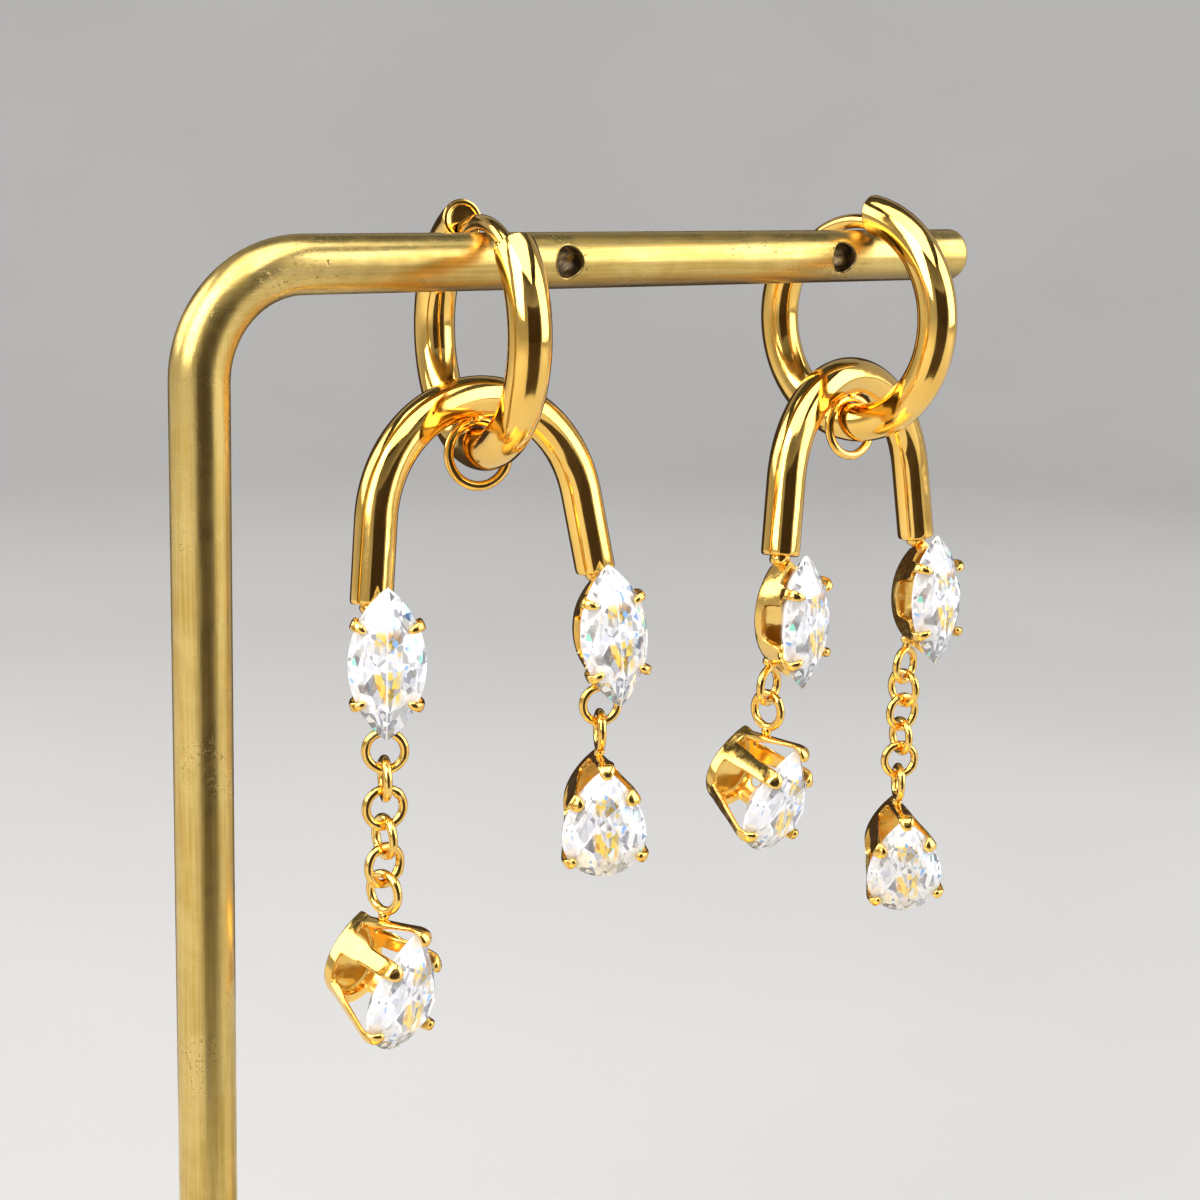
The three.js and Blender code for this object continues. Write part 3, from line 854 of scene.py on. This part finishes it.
def arch_piece(place, hangs, seed):
    """The arch with the plain ring soldered under its crown, and the solder at both legs."""
    askew = radians(RING_TURN)
    across = Vector((cos(askew), 0, -sin(askew)))
    middle = Vector((0, -RING_DROP, 0))
    hanger = ring(middle, across, AWAY, RING_R, RING_WIRE_R)
    bead = blob(Vector((0, -ARCH_TUBE_R - 0.06, 0)), (0.62, 0.3, 0.48), seed)
    parts = [moved(p, place) for p in (arch_tube(), hanger, bead)]
    for k, hang in enumerate(hangs):
        parts.append(blob(hang - UP * 0.16, (0.74, 0.74, 0.62), seed + k + 1))
    return joined(parts)


def wrap(degrees):
    return degrees - 180 * math.floor(degrees / 180 + 0.5)


def hanging_ring(centre, turn, seam):
    a = radians(turn)
    return ring(centre, Vector((cos(a), sin(a), 0)), UP, LINK_R, LINK_WIRE_R, seam)


# ---------- materials ----------
class Nodes:
    """A material's node tree, with short calls for its nodes."""

    def __init__(self, name):
        self.material = bpy.data.materials.new(name)
        self.material.use_nodes = True
        self.tree = self.material.node_tree
        self.tree.nodes.clear()
        self.shader = self.add("ShaderNodeBsdfPrincipled")
        output = self.add("ShaderNodeOutputMaterial")
        self.link(self.shader.outputs[0], output.inputs[0])
        self.place = self.add("ShaderNodeTexCoord").outputs["Object"]

    def add(self, kind, inputs=(), **settings):
        node = self.tree.nodes.new(kind)
        for key, value in settings.items():
            setattr(node, key, value)
        for key, value in dict(inputs).items():
            self.put(node.inputs[key], value)
        return node

    def link(self, a, b):
        self.tree.links.new(a, b)

    def put(self, socket, value):
        if isinstance(value, bpy.types.NodeSocket):
            self.link(value, socket)
        else:
            socket.default_value = value

    def set(self, **values):
        for key, value in values.items():
            self.put(self.shader.inputs[key.replace("_", " ")], value)

    def stretched(self, scale):
        return self.add("ShaderNodeMapping", {"Vector": self.place, "Scale": scale}).outputs[0]

    def noise(self, scale, detail=3.0, rough=0.5, vector=None):
        inputs = {"Vector": vector or self.place, "Scale": scale, "Detail": detail, "Roughness": rough}
        return self.add("ShaderNodeTexNoise", inputs).outputs["Fac"]

    def cells(self, scale, vector):
        """A different random colour in each small cell."""
        inputs = {"Vector": vector, "Scale": scale, "Randomness": 1.0}
        return self.add("ShaderNodeTexVoronoi", inputs).outputs["Color"]

    def ramp(self, value, low, high, to_low=0.0, to_high=1.0):
        inputs = {"Value": value, "From Min": low, "From Max": high, "To Min": to_low, "To Max": to_high}
        return self.add("ShaderNodeMapRange", inputs, interpolation_type="SMOOTHSTEP").outputs[0]

    def math(self, operation, a, b=0.0):
        return self.add("ShaderNodeMath", {0: a, 1: b}, operation=operation).outputs[0]

    def times(self, a, b):
        return self.math("MULTIPLY", a, b)

    def split(self, vector):
        return self.add("ShaderNodeSeparateXYZ", {0: vector}).outputs

    def vector(self, operation, a, b=(0, 0, 0)):
        return self.add("ShaderNodeVectorMath", {0: a, 1: b}, operation=operation).outputs[0]

    def mix(self, share, a, b):
        node = self.add("ShaderNodeMix", data_type="RGBA")
        self.put(node.inputs[0], share)
        self.put(node.inputs[6], a)
        self.put(node.inputs[7], b)
        return node.outputs[2]

    def bump(self, height, strength, distance, normal=None):
        inputs = {"Strength": strength, "Distance": distance, "Height": height}
        if normal:
            inputs["Normal"] = normal
        return self.add("ShaderNodeBump", inputs).outputs[0]


def gold_material():
    n = Nodes("polished_gold")
    tone = n.ramp(n.noise(260, 2), 0.35, 0.65)
    colour = n.mix(tone, (0.9, 0.55, 0.125, 1), (0.95, 0.61, 0.165, 1))
    haze = n.noise(1500, 4, 0.6)
    waves = n.noise(420, 1.5)
    worn = n.ramp(n.noise(210, 2), 0.52, 0.66)
    grain = n.times(n.noise(7000, 3, 0.6), n.ramp(worn, 0, 1, 0.25, 1))
    rounded = n.bump(waves, 0.22, 0.00012)
    rough = n.math("ADD", n.ramp(haze, 0.3, 0.75, 0.06, 0.13), n.times(worn, 0.06))
    n.set(Base_Color=colour, Metallic=1.0, Roughness=rough, Normal=n.bump(grain, 0.22, 0.00001, rounded))
    return n.material


def pressed_gold_material():
    """The same gold for the baskets and rings, a little softer."""
    n = Nodes("pressed_gold")
    tone = n.ramp(n.noise(420, 2), 0.35, 0.65)
    colour = n.mix(tone, (0.91, 0.57, 0.14, 1), (0.96, 0.64, 0.18, 1))
    haze = n.noise(2200, 3, 0.6)
    waves = n.noise(900, 2)
    rounded = n.bump(waves, 0.25, 0.0001)
    n.set(Base_Color=colour, Metallic=1.0, Roughness=n.ramp(haze, 0.3, 0.75, 0.1, 0.24), Normal=rounded)
    return n.material


def near_holes(n, full, none):
    """1 as far as full from the middle of a hole of the rod, and 0 from none on, in millimetres."""
    x, _, z = n.split(n.place)
    masks = []
    for hole in HOLE_X:
        dx = n.math("SUBTRACT", x, (hole + ROW_SHIFT.x) * MM)
        dz = n.math("SUBTRACT", z, ARM_Z * MM)
        gone = n.math("SQRT", n.math("ADD", n.times(dx, dx), n.times(dz, dz)))
        masks.append(n.ramp(gone, none * MM, full * MM))
    return n.math("MAXIMUM", *masks)


def brass_material(name, along):
    """Satin aged brass: brushed, faintly mottled, with small dark pits and scuffs; on the rod, painted shade
    darkens the arm's underside.
    """
    n = Nodes(name)
    reach, _, height = n.split(n.place)
    if along == "rod":
        upright = n.noise(1, 3, vector=n.stretched((6200, 6200, 160)))
        level = n.noise(1, 3, vector=n.stretched((160, 6200, 6200)))
        share = n.ramp(height, 0.0945, 0.0975)
        brushed = n.add("ShaderNodeMix", {0: share, 2: upright, 3: level}, data_type="FLOAT").outputs[0]
    else:
        brushed = n.noise(1, 3, vector=n.stretched((160, 3200, 900)))
    mottle = n.ramp(n.noise(300, 4, 0.62), 0.34, 0.68)
    colour = n.mix(mottle, (0.54, 0.36, 0.085, 1), (0.67, 0.48, 0.15, 1))
    colour = n.mix(n.ramp(brushed, 0.3, 0.72, 0, 0.45), colour, (0.8, 0.62, 0.25, 1))
    patches = n.ramp(n.noise(150, 2), 0.54, 0.68, 0, 1 if along == "rod" else 0.35)
    if along == "rod":
        patches = n.math("MAXIMUM", patches, near_holes(n, 1.1, 2.9))
        between = n.math("ABSOLUTE", n.math("SUBTRACT", reach, (SCUFF_X + ROW_SHIFT.x) * MM))
        rubbed = n.times(n.ramp(between, 0.005, 0.002), n.ramp(height, 0.1, 0.1006))
        patches = n.math("MAXIMUM", patches, rubbed)
        # Painted shade: the arm's underside is mixed towards dark brown, in place of the dark ground that it
        # reflects.
        low = n.times(n.ramp(height, 0.0994, 0.0984), n.ramp(reach, -0.024, -0.014))
        colour = n.mix(n.times(low, 0.75), colour, (0.17, 0.1, 0.03, 1))
    pits = n.times(n.ramp(n.noise(3600, 4, 0.7), 0.61, 0.68), patches)
    scuffs = n.noise(1, 3, 0.6, n.stretched((1700, 5600, 5600)))
    scuffs = n.times(n.ramp(scuffs, 0.62, 0.7), n.times(patches, 0.6))
    specks = n.math("MAXIMUM", pits, scuffs)
    colour = n.mix(specks, colour, (0.1, 0.055, 0.025, 1))
    if along == "rod":
        inside = n.times(near_holes(n, 1.07, 1.12), n.ramp(n.noise(1700, 3), 0.35, 0.65, 0.6, 1))
        colour = n.mix(inside, colour, (0.12, 0.085, 0.05, 1))
    rough = n.ramp(mottle, 0, 1, 0.34, 0.26)
    rough = n.math("ADD", rough, n.times(specks, 0.3))
    lines = n.bump(brushed, 0.3, 0.00002)
    dents = n.bump(n.math("SUBTRACT", 1.0, specks), 0.3, 0.00004, lines)
    uneven = n.bump(n.noise(240, 2), 0.25, 0.0002, dents)
    n.set(Base_Color=colour, Metallic=1.0, Roughness=rough, Normal=uneven)
    return n.material


def zirconia_material(name, painted_keel_highlight):
    """Clear stone. Its cuts show through one another as small tilted cells, clear or bright; the bright cells
    are painted reflections, and the stone also carries painted amber from the gold cup, painted fire and a
    painted highlight along the keel.
    """
    n = Nodes(name)
    across, up, _ = n.split(n.place)
    broad = n.cells(900, n.stretched((1, 0.7, 1)))
    spot = n.vector("ADD", n.stretched((1, 0.62, 0.8)), n.vector("MULTIPLY", broad, (0.0006, 0.0006, 0.0006)))
    fine = n.cells(2900, spot)
    shade, tint, fire = n.split(n.vector("ADD", broad, fine))
    _, rare, warm = n.split(fine)
    # Painted reflections of the inner facets: cells from blue-grey to white, some tinted lavender.
    colour = n.mix(n.ramp(shade, 0.25, 0.95), (0.6, 0.64, 0.76, 1), (1, 1, 1, 1))
    colour = n.mix(n.ramp(tint, 1.1, 1.6, 0, 0.7), colour, (0.83, 0.85, 1, 1))
    aside = n.math("ABSOLUTE", across)
    along = n.noise(1, 2, vector=n.stretched((150, 420, 150)))
    # Painted reflection of the gold cup: amber in some cells of the stone's middle.
    middle = n.times(n.ramp(aside, 0.0011, 0.0006), n.ramp(n.math("ABSOLUTE", up), 0.0027, 0.0019))
    middle = n.times(middle, n.ramp(along, 0.46, 0.52))
    painted_cup_reflection = n.mix(n.ramp(warm, 0.4, 0.7), (0.82, 0.42, 0.1, 1), (1, 0.74, 0.16, 1))
    colour = n.mix(n.times(middle, n.ramp(fire, 0.75, 0.85)), colour, painted_cup_reflection)
    # Painted fire: a few blue and a few green glints.
    colour = n.mix(n.ramp(rare, 0.972, 0.976), colour, (0.3, 0.55, 1, 1))
    colour = n.mix(n.ramp(warm, 0.985, 0.988), colour, (0.35, 0.9, 0.75, 1))
    # Painted highlight: a white line along the keel, where the stone is also less clear.
    keel = n.times(n.ramp(aside, 0.00009, 0.00004), painted_keel_highlight)
    colour = n.mix(keel, colour, (1, 1, 1, 1))
    lean = n.vector("SUBTRACT", n.vector("ADD", broad, fine), (1, 1, 1))
    lean = n.vector("MULTIPLY", lean, (0.22, 0.22, 0.22))
    tilted = n.vector("NORMALIZE", n.vector("ADD", n.add("ShaderNodeNewGeometry").outputs["Normal"], lean))
    dim = n.math("SUBTRACT", 2.0, n.math("ADD", shade, n.times(fire, 0.5)))
    clear = n.ramp(dim, 0.3, 1.35, 0.1, 0.74)
    clear = n.math("SUBTRACT", clear, n.times(keel, clear))
    n.set(Base_Color=colour, Transmission_Weight=clear, IOR=2.15, Roughness=0.0, Normal=tilted)
    return n.material


def floor_material():
    n = Nodes("pale_floor")
    tone = n.ramp(n.noise(6, 3), 0.3, 0.7)
    pale = n.mix(tone, (0.47, 0.465, 0.46, 1), (0.5, 0.495, 0.49, 1))
    # Painted shade: from 0.8 m up the wall turns near black, in place of a dark room above for the metal to
    # reflect.
    height = n.split(n.place)["Z"]
    colour = n.mix(n.ramp(height, 0.8, 1.05), pale, (0.03, 0.03, 0.03, 1))
    n.set(Base_Color=colour, Roughness=0.7)
    return n.material


# ---------- pieces ----------
PAINTED_KEEL_HIGHLIGHT = {"marquise": 0.7, "pear": 0.12}  # how bright the painted highlight along the lower keel is in each cut
SHARP = 35  # degrees between two faces from which their edge stays sharp


def piece(name, part, material, body, node, place=None):
    """A finished piece, riding on its body. A cut stone has a place, and its mesh a frame of its own."""
    shift = Vector() if place else ROW_SHIFT
    mesh = mesh_of(name, ([v + shift for v in part[0]], part[1]), MM)
    mesh.materials.append(material)
    if not place:
        mesh.shade_smooth()
        mesh.set_sharp_from_angle(angle=radians(SHARP))
    obj = linked(name, mesh)
    if place:
        obj.matrix_world = Matrix.Translation((place.translation + ROW_SHIFT) * MM) @ place.to_3x3().to_4x4()
    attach(obj, body)
    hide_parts(node)
    return obj


def build_stand():
    for name, part, along in (("rod", rod(), "rod"), ("base", plate(), "plate")):
        brass = brass_material("aged_brass_" + along, along)
        piece("brass_" + name, part, brass, "stand_and_hoops", "stand_" + name)


def build_drop(side, k, drop, place, looks, shapes):
    """One leg's stones: the marquise in its basket, the rings under it and the pear in its own."""
    tag, leg, angles, hang_at, loop_at, loop_turn, count, pear_angles = drop
    gold, clear = looks
    body = "drop_" + side

    def set_stone(kind, at):
        piece(f"{side}_{tag}_{kind}", shapes[kind], clear[kind], body, f"{kind}_{tag}_{side}", at)

    hang = place @ leg_end(leg)
    turned = facing(Vector(), angles)
    stone_place = Matrix.Translation(hang - turned @ Vector(hang_at)) @ turned
    first_turn = angles[0] + loop_turn
    loop = stone_place @ Vector(loop_at)
    neck_top = stone_place @ Vector((0, -MARQUISE_NECK, loop_at[2]))
    end = loop + UP * LINK_R
    neck = [neck_top.lerp(end, t) for t in (-0.1, 0.25, 0.6, 1)]
    parts = [
        moved(shapes["marquise_basket"], stone_place),
        hanging_ring(loop, first_turn, None),
        pipe(neck, [0.46, 0.4, 0.33, 0.3], 16),
        blob(neck_top.lerp(end, 0.05), (0.55, 0.5, 0.42), 7 + k),
    ]
    piece(f"{side}_{tag}_marquise_basket", joined(parts), gold, body, "arch_" + side)
    set_stone("marquise", stone_place)

    steps = count + 1
    twist = wrap(pear_angles[0] + 90 - first_turn - 90 * steps) / steps
    rings = []
    for i in range(count):
        centre = loop - UP * (LINK_FREE_PITCH + i * LINK_PITCH)
        rings.append(hanging_ring(centre, first_turn + (90 + twist) * (i + 1), 40 + 97 * i))
    if rings:
        piece(f"{side}_chain", joined(rings), gold, body, "chain_" + side)
    run = 2 * LINK_FREE_PITCH + (count - 1) * LINK_PITCH if count else LINK_FREE_PITCH
    last = loop - UP * run
    turned = facing(Vector(), pear_angles)
    from_top = turned @ Vector((0, *PEAR_HANG))
    pear_place = Matrix.Translation(last - UP * (LINK_R + LINK_WIRE_R - LINK_SINK) - from_top) @ turned
    bead = blob(last - UP * (LINK_R + 0.3), (0.4, 0.4, 0.42), 11 + k)
    last_ring = hanging_ring(last, first_turn + (90 + twist) * steps, 140)
    parts = [moved(shapes["pear_basket"], pear_place), last_ring, bead]
    piece(f"{side}_{tag}_pear_basket", joined(parts), gold, body, f"pear_cup_{tag}_{side}")
    set_stone("pear", pear_place)


def build_earrings():
    gold, pressed = gold_material(), pressed_gold_material()
    clear = {kind: zirconia_material(kind + "_zirconia", painted_highlight) for kind, painted_highlight in PAINTED_KEEL_HIGHLIGHT.items()}
    shapes = {
        "marquise_basket": marquise_basket(),
        "pear_basket": pear_basket(),
        "marquise": stone(marquise_outline(24), MARQUISE, [(2 * i + 1) / 20 for i in range(10)]),
        "pear": stone(pear_outline(24), PEAR, (0.0, 0.09, 0.19, 0.3, 0.44, 0.56, 0.7, 0.81, 0.91)),
    }
    for k, (side, e) in enumerate(EARRINGS.items()):
        h = Hoop(e)
        place = arch_place(e, h)
        piece(side + "_hoop", hoop_piece(h), gold, "stand_and_hoops", "hoop_" + side)
        piece(side + "_ear_wire", post_piece(h), gold, "post_" + side, "ear_post_" + side)
        hangs = [place @ leg_end(d[1]) for d in e["drops"]]
        arch = arch_piece(place, hangs, 3 + 5 * k)
        piece(side + "_arch", arch, gold, "drop_" + side, "arch_" + side)
        for i, drop in enumerate(e["drops"]):
            build_drop(side, 2 * k + i, drop, place, (pressed, clear), shapes)


# ---------- stage ----------
# Where the dark flags stand, in degrees round the row: (name, middle, half of the width). They are painted
# shade, seen only in the metal's reflections.
FLAGS = (("flag", -100, 32), ("back_flag", 68, 40))


def studio_piece(name, part, material):
    """A piece of the studio, its part in metres."""
    mesh = mesh_of(name, part)
    mesh.materials.append(material)
    return linked(name, mesh)


def build_floor():
    """A round pale floor that curves up into a wall all round; the wall's top carries painted shade."""
    flat, bend, top = 0.55, 0.35, 1.1
    profile = [(0.0005, 0), (0.1, 0), (0.3, 0), (flat, 0)]
    for i in range(1, 13):
        a = radians(90 * i / 12)
        profile.append((flat + bend * sin(a), bend * (1 - cos(a))))
    profile.append((flat + bend, top))
    verts, faces = skin(rounds(profile, turns(96)))
    floor = studio_piece("floor", (verts, faces[:-1]), floor_material())
    floor.data.shade_smooth()


def build_flag(name, middle, half):
    """A dark studio flag, seen only as the dark streak that it gives the polished metal: painted shade, which
    camera rays, diffuse light, transmission and shadows pass by.
    """
    n = Nodes("dark_" + name)
    # Painted shade: a warm near black, so that the metal's dark streaks turn brown.
    n.set(Base_Color=(0.02, 0.009, 0.003, 1), Roughness=0.9)
    profile = ((0.1, 0.004), (0.2, 0.004), (0.36, 0.01), (0.42, 0.08), (0.43, 0.28))
    steps = 16  # to each side of its middle
    angles = [radians(middle + half * (i / steps - 1)) for i in range(2 * steps + 1)]
    count = len(angles)
    faces = []
    for low in range(0, count * (len(profile) - 1), count):
        high = low + count
        faces += [(low + i, low + i + 1, high + i + 1, high + i) for i in range(count - 1)]
    flag = studio_piece(name, (sum(rounds(profile, angles), []), faces), n.material)
    for ray in ("camera", "diffuse", "transmission", "shadow"):
        setattr(flag, "visible_" + ray, False)


def area_light(name, at, size, energy, colour):
    """A light that faces the middle of the part, unseen by the camera."""
    middle = Vector((0, 0, 0.07))
    data = bpy.data.lights.new(name, "AREA")
    data.shape = "RECTANGLE"
    data.size, data.size_y = size
    data.energy = energy
    data.color = colour
    light = linked(name, data)
    light.location = at
    light.rotation_euler = (middle - Vector(at)).to_track_quat("-Z", "Y").to_euler()
    light.visible_camera = False


def build_lights():
    area_light("key", (-0.5, -0.1, 0.42), (0.4, 0.5), 3.6, (1, 0.98, 0.95))
    area_light("fill", (0.44, -0.34, 0.3), (0.5, 0.5), 2.6, (0.97, 0.98, 1))
    area_light("rim", (-0.42, 0.4, 0.4), (0.4, 0.4), 1.8, (1, 0.98, 0.95))
    area_light("top", (-0.1, -0.12, 0.75), (0.8, 0.7), 5.8, (1, 1, 1))
    world = bpy.data.worlds.new("studio")
    world.use_nodes = True
    background = world.node_tree.nodes["Background"].inputs
    background["Color"].default_value = (0.9, 0.92, 0.95, 1)
    background["Strength"].default_value = 0.08
    scene = bpy.context.scene
    scene.world = world
    scene.view_settings.view_transform = "Standard"


def build_camera():
    """The view from the post's side and the front, a little above the arm."""
    place = Vector((-88.379, -122.309, 109.103))
    yaw, pitch, roll = 0.622, -0.214, 0.028
    forward = Vector((sin(yaw) * cos(pitch), cos(yaw) * cos(pitch), sin(pitch)))
    right = Vector((cos(yaw), -sin(yaw), 0))
    up = right.cross(forward)
    c, s = cos(roll), sin(roll)
    right, up = right * c + up * s, up * c - right * s
    data = bpy.data.cameras.new("camera")
    data.lens = 66
    data.sensor_width = 36
    data.clip_start = 0.005
    camera = linked("camera", data)
    turn = Matrix((right, up, -forward)).transposed().to_4x4()
    camera.matrix_world = Matrix.Translation(place * MM) @ turn
    bpy.context.scene.camera = camera


build_camera()
build_floor()
for flag in FLAGS:
    build_flag(*flag)
build_lights()
build_stand()
build_earrings()
